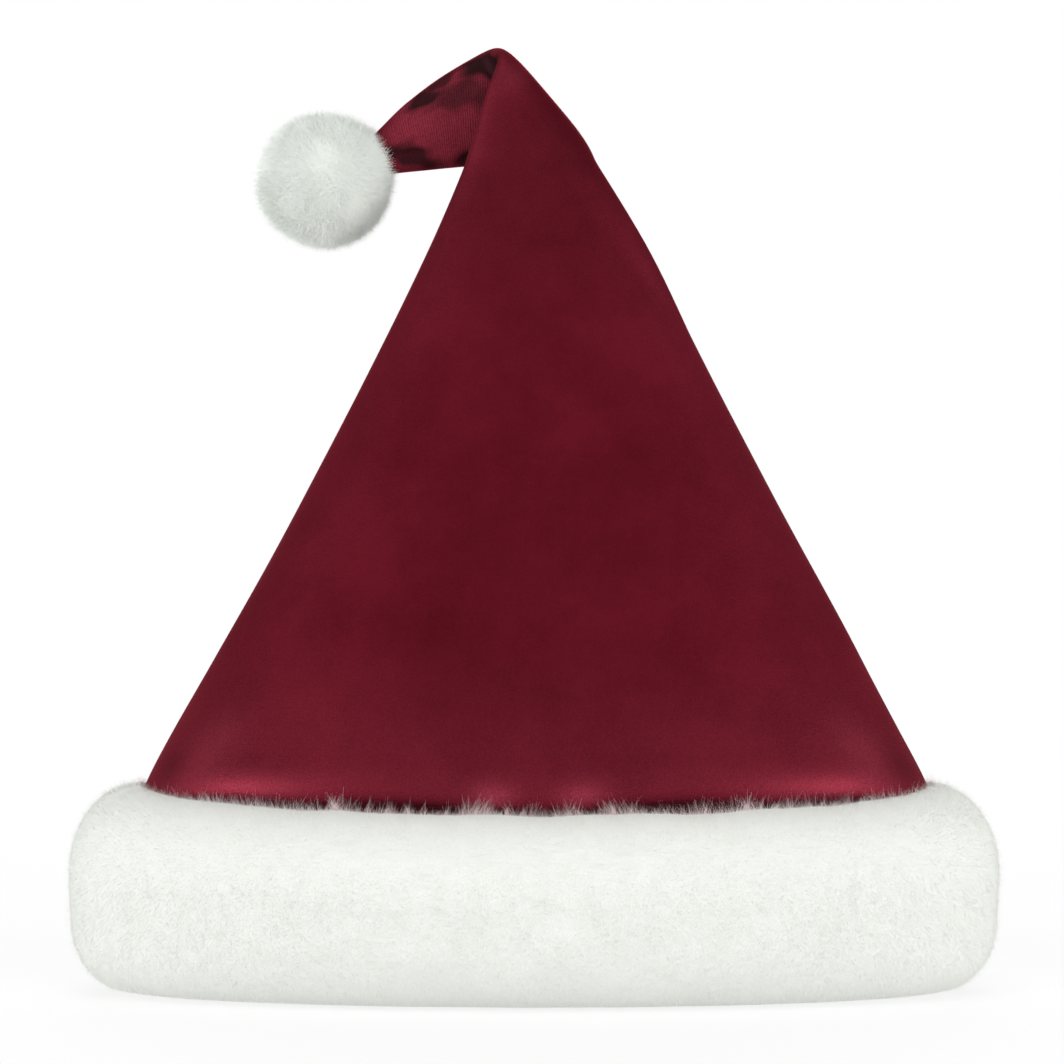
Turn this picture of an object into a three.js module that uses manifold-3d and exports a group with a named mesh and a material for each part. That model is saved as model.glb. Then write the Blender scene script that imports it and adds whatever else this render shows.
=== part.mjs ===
// An elf hat: a pointed crown of burgundy satin velour, its tip folded over behind and ending in a
// fur pompom, on a deep cuff of white plush. It stands on its cuff with the head opening underneath.
import * as THREE from "three";
import { mergeVertices } from "three/addons/utils/BufferGeometryUtils.js";
import Module from "manifold-3d";

// Millimetres, +Z up. The hat is seen along +Y with +X to the right. The origin is the middle of the
// oval that the cuff rests on.

const SIDES = 36; // facets round the crown and the cuff

// Crown: satin velour with its backing
const CLOTH = 1.7; // thickness, measured level
const SWELL_WIDTH = 260; // across the crown where it swells out over the cuff
const SWELL_DEPTH = 132;
const SEAM_INSET = 5; // how far it draws in from the swell to the seam inside the cuff
const SEAM_HALF_WIDTH = SWELL_WIDTH / 2 - SEAM_INSET;
const SEAM_HALF_DEPTH = SWELL_DEPTH / 2 - SEAM_INSET;
const PRESSED_EDGE = 0.25; // the less, the fuller the edges of its flat sections
const HEM_HEIGHT = 12;
const SEAM_HEIGHT = 55; // where the crown comes out of the cuff
const SWELL_HEIGHT = 74;

// Cuff: a doubled plush band that takes the crown's hem in a slot. Its sizes are to the pile's outer form.
const CUFF_HEIGHT = 71.5; // at the sides of the hat
const CUFF_DIP = 8; // how much lower its top is at the front and back
const DIP_BREADTH = 0.8; // the less, the sooner that dip is reached from the sides
const PILE_OUT = 33; // from the seam out to the fullest part
const BELLY_LOW = 24; // heights between which the cuff is fullest
const BELLY_HIGH = 37;
const CREST_OUT = 8; // how far out from the seam its top is
const FLAT_OUT = 14; // how far out the flat that it rests on goes
const FACING = 5.2; // thickness of the band's inner layer
const FACING_HEIGHT = 50;
const FACING_TOE = 5; // radius of the inner edge at the floor
const GAP = 0.3; // clearance between neighbouring pieces

// Fold: the line that the tip is folded over on, as seen from the front
const FOLD_MIDDLE = { x: 5.2, z: 301.9 }; // a point on the fold's outline
const FOLD_SLOPE = THREE.MathUtils.degToRad(52); // fall of that outline to the right
const FOLD_RADIUS = 8; // to the middle of the folded tube
const FOLD_HALF_DEPTH = 5; // of the tube where it goes over the fold

// Pompom: a ball of longer pile that the tip is sewn into
const POMPOM_RADIUS = 23.3;
const POMPOM_REACH = 22.9; // from the end of the tail that shows to the ball's middle
const SOCKET_GAP = 0.6; // level clearance round the tail's end, about half that square to its wall

// Sections of the crown before its tip is folded, from the hem up. shift and height place the middle
// of a section, lean turns it clockwise as seen from the front, and rings is how many rings lead from
// it to the next one.
const CROWN_SECTIONS = [
  ["hem", 0, HEM_HEIGHT, SEAM_HALF_WIDTH, SEAM_HALF_DEPTH, 0, 1],
  ["band", 0, 35, SEAM_HALF_WIDTH, SEAM_HALF_DEPTH, 0, 1],
  ["seam", 0, SEAM_HEIGHT, SEAM_HALF_WIDTH, SEAM_HALF_DEPTH, 0, 2],
  ["turn", 0, 65, SEAM_HALF_WIDTH + 1.4, SEAM_HALF_DEPTH + 1.4, 0, 3],
  ["swell", 0, SWELL_HEIGHT, SWELL_WIDTH / 2, SWELL_DEPTH / 2, 0, 3],
  ["lower", 0.4, 111.5, 109.5, 55, 0, 2],
  ["middle", 0.8, 165.6, 80.2, 39.6, 0, 3],
  ["upper", 0.8, 226, 48.8, 22.4, 0, 3],
  ["under_fold", -1.2, 270.8, 26.4, 9.5, 0, 3],
  ["fold_start", -0.3, 285, 21.8, 7, 3, 4],
  ["fold", 4.8, 301.8, 21.2, FOLD_HALF_DEPTH, 12, 5],
  ["tail_root", 11.5, 318.8, 19.7, FOLD_HALF_DEPTH, 16, 4],
  ["tail_upper", 19.3, 331.5, 16.1, 5.2, 19, 3],
  ["tail_middle", 27.8, 342.8, 11.8, 5.6, 25, 3],
  ["tail_end", 35.7, 352.2, 7.7, 5.6, 34, 3],
  ["stitched_end", 40.7, 358.4, 5.6, 4.8, 38, 3],
  ["tip", 43.9, 362.3, 0, 0, 39, 0],
].map(([at, shift, height, halfWidth, halfDepth, lean, rings]) =>
  ({ at, shift, height, halfWidth, halfDepth, lean, rings }));

// Creases pressed into both faces of the folded tail, placed as shares of its length and half width
const TAIL_CREASES = [
  { at: "root_pocket", along: 0.12, across: -0.45, length: 0.16, width: 0.5, depth: 2.2 },
  { at: "middle_crease", along: 0.45, across: -0.35, length: 0.12, width: 0.55, depth: 1.6 },
  { at: "lower_crease", along: 0.62, across: 0.5, length: 0.14, width: 0.4, depth: 1.5 },
];

const wasm = await Module();
wasm.setup();

/** Carries a point of the unfolded crown over the fold: it wraps half round a roll and runs on behind. */
function foldBack(point) {
  const across = new THREE.Vector3(Math.sin(FOLD_SLOPE), 0, Math.cos(FOLD_SLOPE));
  const start = new THREE.Vector3(FOLD_MIDDLE.x, 0, FOLD_MIDDLE.z);
  start.addScaledVector(across, -FOLD_RADIUS - FOLD_HALF_DEPTH);
  const past = point.clone().sub(start).dot(across);
  if (past <= 0) return point;
  const turn = Math.min(past / FOLD_RADIUS, Math.PI);
  const beyond = Math.max(past - Math.PI * FOLD_RADIUS, 0);
  const reach = FOLD_RADIUS - point.y;
  const folded = point.clone().addScaledVector(across, reach * Math.sin(turn) - beyond - past);
  folded.y = FOLD_RADIUS - reach * Math.cos(turn);
  return folded;
}

/** The crown's sections as two smooth curves over the same parameter: where they are and how large. */
const crownSpine = new THREE.CatmullRomCurve3(
  CROWN_SECTIONS.map((s) => new THREE.Vector3(s.shift, 0, s.height)), false, "catmullrom");
const crownSizes = new THREE.CatmullRomCurve3(
  CROWN_SECTIONS.map((s) => new THREE.Vector3(s.halfWidth, s.halfDepth, s.lean)), false, "catmullrom");

const sectionShare = (name) =>
  CROWN_SECTIONS.findIndex((s) => s.at === name) / (CROWN_SECTIONS.length - 1);

/** The parameters of the crown's rings, from one named section up to another. */
function ringShares(from, to) {
  const shares = [];
  CROWN_SECTIONS.forEach((section, i) => {
    for (let k = 0; k < section.rings; k++) {
      shares.push((i + k / section.rings) / (CROWN_SECTIONS.length - 1));
    }
  });
  return shares.filter((share) => share >= sectionShare(from) && share < sectionShare(to));
}

/** How deep the tail's creases press in at a place on it: a sum of round dents. */
function creaseAt(share, across) {
  const root = sectionShare("fold");
  const along = (share - root) / (sectionShare("tail_end") - root);
  return TAIL_CREASES.reduce((sum, c) => {
    const away = ((along - c.along) / c.length) ** 2 + ((across - c.across) / c.width) ** 2;
    return sum + c.depth * Math.exp(-away);
  }, 0);
}

/** One ring round the crown, grown or (if negative) shrunk by a margin, with the tip folded over. A flat
 *  section keeps its depth out towards its edges, as a pressed tube does. */
function crownRing(share, margin = 0) {
  const middle = crownSpine.getPoint(share);
  const size = crownSizes.getPoint(share);
  const lean = THREE.MathUtils.degToRad(size.z);
  const roundness = Math.min(1, PRESSED_EDGE + 1.6 * (size.y / size.x));
  const ring = [];
  for (let i = 0; i < SIDES; i++) {
    const angle = (2 * Math.PI * i) / SIDES;
    const half = (size.x + margin) * Math.cos(angle);
    const dent = creaseAt(share, Math.cos(angle)) * Math.abs(Math.sin(angle));
    const depth = Math.max(size.y - dent, CLOTH + 1) + margin;
    const swing = Math.sign(Math.sin(angle)) * Math.abs(Math.sin(angle)) ** roundness;
    const point = new THREE.Vector3(half * Math.cos(lean), depth * swing, -half * Math.sin(lean));
    ring.push(foldBack(point.add(middle)));
  }
  return ring;
}

/** A closed mesh through rings of equal count: between two end points, or looped back on itself. */
function skin(rings, ends) {
  const count = rings[0].length;
  const points = rings.flat();
  const faces = [];
  const lastRing = ends ? rings.length - 1 : rings.length;
  for (let r = 0; r < lastRing; r++) {
    const here = r * count;
    const next = ((r + 1) % rings.length) * count;
    for (let i = 0; i < count; i++) {
      const j = (i + 1) % count;
      faces.push(here + i, here + j, next + j, here + i, next + j, next + i);
    }
  }
  if (ends) {
    const first = points.push(ends[0]) - 1;
    const last = points.push(ends[1]) - 1;
    const top = (rings.length - 1) * count;
    for (let i = 0; i < count; i++) {
      const j = (i + 1) % count;
      faces.push(first, j, i, last, top + i, top + j);
    }
  }
  return new THREE.BufferGeometry().setFromPoints(points).setIndex(faces);
}

/** The crown: one wall from the closed end inside the tail, down to the hem and up again outside. */
function crownGeometry() {
  const inside = ringShares("hem", "tail_end").map((share) => crownRing(share, -CLOTH));
  const outside = ringShares("hem", "tip").map((share) => crownRing(share));
  const insideEnd = foldBack(crownSpine.getPoint(sectionShare("tail_end")));
  const tip = foldBack(crownSpine.getPoint(1));
  return skin([...inside.reverse(), ...outside], [insideEnd, tip]);
}

/** The cuff's section, as distance out from the seam and height, run round clockwise. */
function cuffSection() {
  const quarter = Math.PI / 2;
  const slotIn = -CLOTH - GAP;
  const faceIn = slotIn - FACING;
  const facingTop = FACING_HEIGHT - FACING / 2;
  const path = new THREE.Path();
  path.moveTo(faceIn + FACING_TOE, 0);
  path.lineTo(FLAT_OUT, 0);
  path.absellipse(FLAT_OUT, BELLY_LOW, PILE_OUT - FLAT_OUT, BELLY_LOW, -quarter, 0);
  path.absellipse(CREST_OUT, BELLY_HIGH, PILE_OUT - CREST_OUT, CUFF_HEIGHT - BELLY_HIGH, 0, quarter);
  path.lineTo(GAP, SEAM_HEIGHT - GAP);
  path.lineTo(GAP, HEM_HEIGHT - GAP);
  path.lineTo(slotIn, HEM_HEIGHT - GAP);
  path.lineTo(slotIn, facingTop);
  path.absarc(slotIn - FACING / 2, facingTop, FACING / 2, 0, Math.PI);
  path.absarc(faceIn + FACING_TOE, FACING_TOE, FACING_TOE, Math.PI, 3 * quarter);
  const points = path.getPoints(3);
  return points.filter((p, i) => i > 0 && p.distanceTo(points[i - 1]) > GAP / 2).reverse();
}

/** How far the cuff is lower than at its sides: nothing on the floor, most at the top in front and behind. */
function dipAt(angle, height) {
  const middling = Math.abs(Math.sin(angle)) ** DIP_BREADTH;
  return CUFF_DIP * middling * THREE.MathUtils.smoothstep(height, 0, CUFF_HEIGHT);
}

/** The cuff: its section carried round the seam's oval, standing square to it. */
function cuffGeometry() {
  const section = cuffSection();
  const rings = [];
  for (let i = 0; i < SIDES; i++) {
    const angle = (2 * Math.PI * i) / SIDES;
    const seam = new THREE.Vector3(SEAM_HALF_WIDTH * Math.cos(angle), SEAM_HALF_DEPTH * Math.sin(angle), 0);
    const out = new THREE.Vector3(SEAM_HALF_DEPTH * Math.cos(angle), SEAM_HALF_WIDTH * Math.sin(angle), 0);
    out.normalize();
    rings.push(section.map((p) => {
      const point = seam.clone().addScaledVector(out, p.x);
      point.z = p.y - dipAt(angle, p.y);
      return point;
    }));
  }
  return skin(rings);
}

/** A closed geometry as a manifold-3d solid, with the vertices that its faces share merged. */
function toSolid(geometry) {
  const bare = geometry.clone();
  bare.deleteAttribute("normal");
  bare.deleteAttribute("uv");
  const merged = mergeVertices(bare, 1e-3);
  return new wasm.Manifold(new wasm.Mesh({
    numProp: 3,
    vertProperties: new Float32Array(merged.attributes.position.array),
    triVerts: new Uint32Array(merged.index.array),
  }));
}

function toGeometry(solid) {
  const { vertProperties, triVerts } = solid.getMesh();
  const geometry = new THREE.BufferGeometry();
  geometry.setAttribute("position", new THREE.BufferAttribute(vertProperties, 3));
  geometry.setIndex(new THREE.BufferAttribute(triVerts, 1));
  return geometry;
}

/** The middle of the pompom: on from the tail's end, along its own lean, and folded with it. */
function pompomMiddle() {
  const end = crownSpine.getPoint(sectionShare("tail_end"));
  const lean = THREE.MathUtils.degToRad(CROWN_SECTIONS.at(-1).lean);
  end.add(new THREE.Vector3(Math.sin(lean), 0, Math.cos(lean)).multiplyScalar(POMPOM_REACH));
  return foldBack(end);
}

/** The pompom: a ball with a socket for the stitched end of the tail. */
function pompomGeometry(middle) {
  const ball = toSolid(new THREE.SphereGeometry(POMPOM_RADIUS, 24, 16));
  const rings = ringShares("tail_root", "tip").map((share) => crownRing(share, SOCKET_GAP));
  const beyondTip = foldBack(crownSpine.getPoint(1).add(crownSpine.getTangent(1).multiplyScalar(SOCKET_GAP)));
  const root = foldBack(crownSpine.getPoint(sectionShare("tail_root")));
  const tail = skin(rings, [root, beyondTip]).translate(-middle.x, -middle.y, -middle.z);
  return toGeometry(ball.subtract(toSolid(tail)));
}

function named(name, geometry, look) {
  geometry.computeVertexNormals();
  const mesh = new THREE.Mesh(geometry, new THREE.MeshStandardMaterial(look));
  mesh.name = name;
  return mesh;
}

const satin = { color: 0x5c1420, roughness: 0.45, metalness: 0 };
const plush = { color: 0xf0f2ec, roughness: 1, metalness: 0 };
const longPile = { color: 0xdfe4dc, roughness: 1, metalness: 0 };

const middle = pompomMiddle();
const pompom = named("pompom", pompomGeometry(middle), longPile);
pompom.position.copy(middle);

const hat = new THREE.Group();
hat.add(named("crown", crownGeometry(), satin), named("cuff", cuffGeometry(), plush), pompom);

export default hat;
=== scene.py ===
import math

import bpy
import numpy as np
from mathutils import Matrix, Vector


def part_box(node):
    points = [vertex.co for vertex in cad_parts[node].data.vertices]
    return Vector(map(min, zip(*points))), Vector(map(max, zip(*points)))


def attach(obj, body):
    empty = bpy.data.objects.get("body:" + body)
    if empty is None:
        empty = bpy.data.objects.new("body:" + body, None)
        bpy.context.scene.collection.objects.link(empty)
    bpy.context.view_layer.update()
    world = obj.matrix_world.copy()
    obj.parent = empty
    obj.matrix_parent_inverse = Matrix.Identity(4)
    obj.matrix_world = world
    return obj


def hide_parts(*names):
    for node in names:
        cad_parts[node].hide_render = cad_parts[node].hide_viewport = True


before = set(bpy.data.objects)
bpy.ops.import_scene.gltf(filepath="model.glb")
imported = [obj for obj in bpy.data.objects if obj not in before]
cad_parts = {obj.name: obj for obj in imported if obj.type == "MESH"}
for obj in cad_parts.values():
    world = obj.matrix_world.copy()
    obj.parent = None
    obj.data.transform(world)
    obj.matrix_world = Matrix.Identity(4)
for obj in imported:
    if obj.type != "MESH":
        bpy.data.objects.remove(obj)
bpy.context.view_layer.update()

# CROWN
# A pointed cone of burgundy satin velour on a knitted backing, sewn up both sides and closed at the tip.
# The hem stands inside the cuff; the tip is folded over behind on a slanting line and hangs to the left.

MM = 0.001
CLOTH = 1.5  # millimetres, as are the sizes below that name no other unit
CROWN_ROUND = 256  # faces round the crown
RIB_PITCH = 0.85  # fine ribs of the velour, running round the cone
OUTSIDE_SHARE, INSIDE_SHARE, END_SHARE = 0.68, 0.3, 0.01  # of the crown's map: outside, inside, each end
INSIDE_STEP = 3  # the inside has every third ring of the outside, up to its closed end
TIP_SHORT = 0.02  # how far the last ring stands short of the last section, in shares of a section

SWELL_HALF_WIDTH = 130.0
SWELL_HALF_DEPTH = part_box("crown")[1].y / MM
SEAM_INSET = 5.0
SEAM_HALF_WIDTH = SWELL_HALF_WIDTH - SEAM_INSET
SEAM_HALF_DEPTH = SWELL_HALF_DEPTH - SEAM_INSET
FOLD_RADIUS = 8.0
FOLD_HALF_DEPTH = 5.0
FOLD_SLOPE = math.radians(52)
FOLD_ACROSS = np.array([math.sin(FOLD_SLOPE), 0, math.cos(FOLD_SLOPE)])
FOLD_CREST = np.array([5.2, 0, 301.9])
FOLD_START = FOLD_CREST - FOLD_ACROSS * (FOLD_RADIUS + FOLD_HALF_DEPTH)
CONE_TOP = 290.0  # where the seams and the dents of the cone end, below the fold

# Sections from the hem up, before the tip is folded: shift, height, half width, half depth, lean in degrees,
# how far the ring droops at the sides, and the number of rings up to the next section
CROWN_SECTIONS = np.array([
    (0.0, 12.0, SEAM_HALF_WIDTH, SEAM_HALF_DEPTH, 0, 0, 4),
    (0.0, 35.0, SEAM_HALF_WIDTH, SEAM_HALF_DEPTH, 0, 0, 4),
    (0.0, 55.0, SEAM_HALF_WIDTH + 0.4, SEAM_HALF_DEPTH, 0, 2, 8),
    (0.0, 65.0, SEAM_HALF_WIDTH + 3.5, SEAM_HALF_DEPTH + 1.4, 0, 5, 14),
    (0.0, 74.0, SWELL_HALF_WIDTH + 2.6, SWELL_HALF_DEPTH, 0, 5.5, 20),
    (0.4, 111.5, 109.5, 55.0, 0, 0, 12),
    (0.8, 165.6, 80.2, 39.6, 0, 0, 12),
    (0.8, 226.0, 48.8, 22.4, 0, 0, 12),
    (-1.2, 270.8, 26.4, 9.5, 0, 0, 10),
    (-0.3, 285.0, 21.8, 7.0, 3, 0, 14),
    (4.8, 301.8, 21.2, FOLD_HALF_DEPTH, 12, 0, 18),
    (11.2, 318.9, 20.0, FOLD_HALF_DEPTH, 16, 0, 16),
    (18.7, 331.7, 16.7, 5.2, 19, 0, 14),
    (27.3, 343.0, 12.4, 5.6, 25, 0, 12),
    (35.7, 352.2, 7.7, 5.6, 34, 0, 6),
    (40.7, 358.4, 5.6, 4.8, 38, 0, 6),
    (43.9, 362.3, 0.0, 0.0, 39, 0, 0),
])
FOLD_ROW, TAIL_END_ROW = 10, 14

# Shares of the sides' droop that a ring has in the middle of front and back and between there and the sides,
# with the places and breadths of those stretches in shares of the half width
MIDDLE_DROOP, QUARTER_DROOP = 0.6, 0.3
MIDDLE_BREADTH, QUARTER_PLACE, QUARTER_BREADTH = 0.35, 0.62, 0.17

# Power on the sine that gives a section its depth: least where it is flat, and growing with depth over width
FLAT_POWER, POWER_GAIN = 0.25, 1.6

# Creases of the folded tail, on the side that shows: share along it, share across it (-1 its upper edge, 1
# its lower), half length and half width, slant in degrees, depth (a ridge if negative), and how much shade
# is painted in it
TAIL_CREASES = np.array([
    (0.30, -0.84, 12.0, 4.8, -26, 1.6, 0.88),
    (0.14, -0.64, 6.0, 8.0, 0, 0.6, 0.86),
    (0.68, -0.78, 6.0, 3.8, 0, 1.2, 0.85),
    (0.57, -0.92, 7.5, 2.0, 14, 0.8, 0.7),
    (0.46, -0.42, 14.0, 4.4, -18, 0.8, 0.55),
    (0.84, 0.48, 15.0, 5.0, -36, 1.4, 0.76),
    (0.43, 0.86, 5.0, 3.2, 26, 1.2, 0.78),
    (0.62, 0.05, 12.0, 5.0, -25, -0.7, 0.0),
    (0.42, -0.62, 4.0, 2.0, -40, -0.5, 0.0),
])
TAIL_LENGTH, TAIL_HALF_WIDTH = 60.0, 16.0
WAVER_ALONG, WAVER_ACROSS = 1.2, 0.9  # how far the edges of the creases waver

# Soft gathers of the roll over the cuff, in front: place across and breadth in shares of the half width,
# how far out, and how much highlight is painted on it
ROLL_GATHERS = np.array([
    (-0.72, 0.18, 0.9, 0.2),
    (-0.105, 0.05, 1.1, 0.5),
    (0.11, 0.055, 1.1, 0.46),
    (0.72, 0.18, 0.9, 0.2),
])
BACK_GATHERS = 0.8  # strength and spread of the gathers across the back, as a share of those in front
DENT_DEPTH, SEAM_DEPTH, SEAM_BREADTH = 0.09, 0.35, 0.012  # the breadth is a share of the half depth

# How much highlight and sheen is painted in places on the outside, and how much shade, as shares
PAINTED_HIGHLIGHT_SHARES = {"tail": 0.42, "roll": 0.13, "crest": 0.18, "brushed": 0.22,
            "side": 0.13, "edge": 0.06, "upper": 0.05, "low": 0.09}
PAINTED_SHADE_SHARES = {"corner": 0.3, "upper": 0.12, "under": 0.62, "seams": 0.3}

# Colours of the velour: the two that its clouds range between, that of the painted highlight and sheen,
# and that of the painted shade; and the cells to the metre of its clouds, nap, grain and pile
VELOUR_DEEP, VELOUR_FULL = (0.063, 0.0029, 0.0073), (0.089, 0.0046, 0.0109)
VELOUR_PAINTED_HIGHLIGHT, VELOUR_PAINTED_SHADE = (0.26, 0.034, 0.055), (0.005, 0.0062, 0.0064)
CLOUD_CELLS, NAP_CELLS, GRAIN_CELLS, PILE_CELLS = 26.0, 420.0, 1000.0, 2600.0


def bell(value, place, breadth):
    """1 at a place and less to either side: e to the minus square of the distance in breadths."""
    return np.exp(-(((value - place) / breadth) ** 2))


def ramp(value, start, end):
    """0 at a start and before it, 1 at an end and past it, and straight between; the end may be the lower."""
    return np.clip((value - start) / (end - start), 0, 1)


def smooth_rows(rows, at):
    """Cubic through the rows of a table: the slope at a row is half the step between its two neighbours."""
    wide = np.vstack([2 * rows[:1] - rows[1:2], rows, 2 * rows[-1:] - rows[-2:-1]])
    i = np.clip(np.floor(at).astype(int), 0, len(rows) - 2)
    f = (at - i)[:, None]
    a, b, c, d = (wide[i + k] for k in range(4))
    return b + 0.5 * f * (c - a + f * (2 * a - 5 * b + 4 * c - d + f * (3 * (b - c) + d - a)))


def ring_heights(at):
    """Heights of the crown's rings before the fold: the height column of the sections, smoothed."""
    return smooth_rows(CROWN_SECTIONS[:, 1:2], at)


def fold_back(p):
    """Past the fold's start a point wraps half round a roll, at its own depth, then runs straight behind."""
    past = np.maximum((p - FOLD_START) @ FOLD_ACROSS, 0)
    turn = np.minimum(past / FOLD_RADIUS, np.pi)
    beyond = np.maximum(past - np.pi * FOLD_RADIUS, 0)
    reach = FOLD_RADIUS - p[..., 1]
    folded = p + (reach * np.sin(turn) - beyond - past)[..., None] * FOLD_ACROSS
    folded[..., 1] = FOLD_RADIUS - reach * np.cos(turn)
    return folded


def crown_grid(at, angle, margin=0.0):
    """Rings of the crown: a section's middle, half its width along its lean and half its depth across.
    A flat section keeps its depth out to its edges, as a pressed tube does."""
    columns = smooth_rows(CROWN_SECTIONS[:, :6], at).T
    shift, height, half_width, half_depth, lean, droop = (c[:, None] for c in columns)
    middle = bell(np.cos(angle), 0, MIDDLE_BREADTH)
    quarter = bell(np.abs(np.cos(angle)), QUARTER_PLACE, QUARTER_BREADTH)
    height = height - droop * (np.cos(angle) ** 6 + MIDDLE_DROOP * middle + QUARTER_DROOP * quarter)
    lean = np.radians(lean)
    roundness = np.minimum(1, FLAT_POWER + POWER_GAIN * half_depth / np.maximum(half_width, 1e-3))
    across = np.maximum(half_width + margin, 0) * np.cos(angle)
    swing = np.sign(np.sin(angle)) * np.abs(np.sin(angle)) ** roundness
    depth = np.maximum(half_depth + margin, 0) * swing
    flat = [shift + across * np.cos(lean), depth, height - across * np.sin(lean)]
    return fold_back(np.stack(flat, -1))


def tail_creases(at, angle):
    """Depth of the tail's creases and how much shade is painted in them: slanted bells with wavering edges.
    """
    along = ((at - FOLD_ROW) / (TAIL_END_ROW - FOLD_ROW))[:, None]
    dent, dark = np.zeros((2, len(at), len(angle)))
    for share, side, half_long, half_wide, slant, depth, darkness in TAIL_CREASES:
        a = (along - share) * TAIL_LENGTH
        b = (np.cos(angle)[None, :] - side) * TAIL_HALF_WIDTH
        a, b = a + WAVER_ALONG * np.sin(0.9 * b + 9 * share), b + WAVER_ACROSS * np.sin(0.55 * a + 7 * side)
        c, s = math.cos(math.radians(slant)), math.sin(math.radians(slant))
        crease = bell(a * c + b * s, 0, half_long) * bell(b * c - a * s, 0, half_wide)
        dent += depth * crease
        dark = np.maximum(dark, darkness * np.clip(2.2 * crease - 0.35, 0, 1))
    shown = ramp(np.sin(angle), -0.15, 0.1)[None, :] * ramp(along, -0.1, 0.05)
    return dent * shown * ramp(along, 1.15, 1.0), dark * shown


def roll_gathers(angle):
    """How far the cloth gathers out over the cuff and how much highlight is painted there, by the angle round
    it: a bell for each gather across the front, and weaker ones elsewhere across the back."""
    across, front = np.cos(angle), np.sin(angle) < 0
    total = np.zeros((2, len(angle)))
    for place, breadth, *amounts in ROLL_GATHERS:
        behind = BACK_GATHERS * bell(across, BACK_GATHERS * place - 0.1, breadth)
        total += np.outer(amounts, np.where(front, bell(across, place, breadth), behind))
    return total


def side_seams(angle, height):
    """1 along the two sewn sides of the cone and 0 away from them: a narrow bell round each."""
    return bell(np.sin(angle)[None, :], 0, SEAM_BREADTH) * ramp(height, CONE_TOP, CONE_TOP - 30)


def crown_relief(at, angle):
    """Height of the cloth over the plain rings: the gathers of the roll over the cuff, less the creases of
    the tail, plus slow dents of the cone (sines round and up it), less the pulled-in side seams."""
    height = ring_heights(at)
    relief = bell(height, 75, 9) * roll_gathers(angle)[0] - tail_creases(at, angle)[0]
    cone = ramp(height, 60, 90) * ramp(height, CONE_TOP, CONE_TOP - 40)
    rng = np.random.default_rng(7)
    for _ in range(14):
        turns, climb, phase = rng.integers(2, 9), rng.uniform(-0.09, 0.09), rng.uniform(0, 2 * np.pi)
        relief += cone * DENT_DEPTH * np.sin(turns * angle[None, :] + climb * height + phase)
    return relief - SEAM_DEPTH * side_seams(angle, height)


def grid_normals(p):
    """Square to a grid of points that closes round its second axis: the cross product of its two slopes."""
    round_it = np.roll(p, -1, 1) - np.roll(p, 1, 1)
    along = np.gradient(p, axis=0)
    n = np.cross(round_it, along)
    return n / np.maximum(np.linalg.norm(n, axis=2, keepdims=True), 1e-9)


def ring_faces(rows, count):
    """Quads between neighbouring rings of a grid that closes round its second axis."""
    r, i = np.meshgrid(np.arange(rows - 1), np.arange(count), indexing="ij")
    j = (i + 1) % count
    corners = [r * count + i, r * count + j, (r + 1) * count + j, (r + 1) * count + i]
    return np.stack(corners, -1).reshape(-1, 4)


def mesh_piece(name, points, faces, uv=None, kinds=None):
    """A shaded mesh from points in metres and faces of three or four corners, with a map place per corner."""
    sizes = np.concatenate([np.full(len(f), f.shape[1], np.int32) for f in faces])
    corners = np.concatenate([f.ravel() for f in faces]).astype(np.int32)
    starts = np.concatenate([[0], np.cumsum(sizes)[:-1]]).astype(np.int32)
    mesh = bpy.data.meshes.new(name)
    mesh.vertices.add(len(points))
    mesh.vertices.foreach_set("co", np.ascontiguousarray(points, np.float32).ravel())
    mesh.loops.add(len(corners))
    mesh.loops.foreach_set("vertex_index", corners)
    mesh.polygons.add(len(sizes))
    mesh.polygons.foreach_set("loop_start", starts)
    mesh.polygons.foreach_set("use_smooth", np.ones(len(sizes), bool))
    if kinds is not None:
        mesh.polygons.foreach_set("material_index", kinds.astype(np.int32))
    if uv is not None:
        layer = mesh.uv_layers.new(name="OFBake")
        layer.data.foreach_set("uv", np.ascontiguousarray(uv, np.float32).ravel())
    mesh.update(calc_edges=True)
    mesh.validate()
    piece = bpy.data.objects.new(name, mesh)
    bpy.context.scene.collection.objects.link(piece)
    return piece


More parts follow.
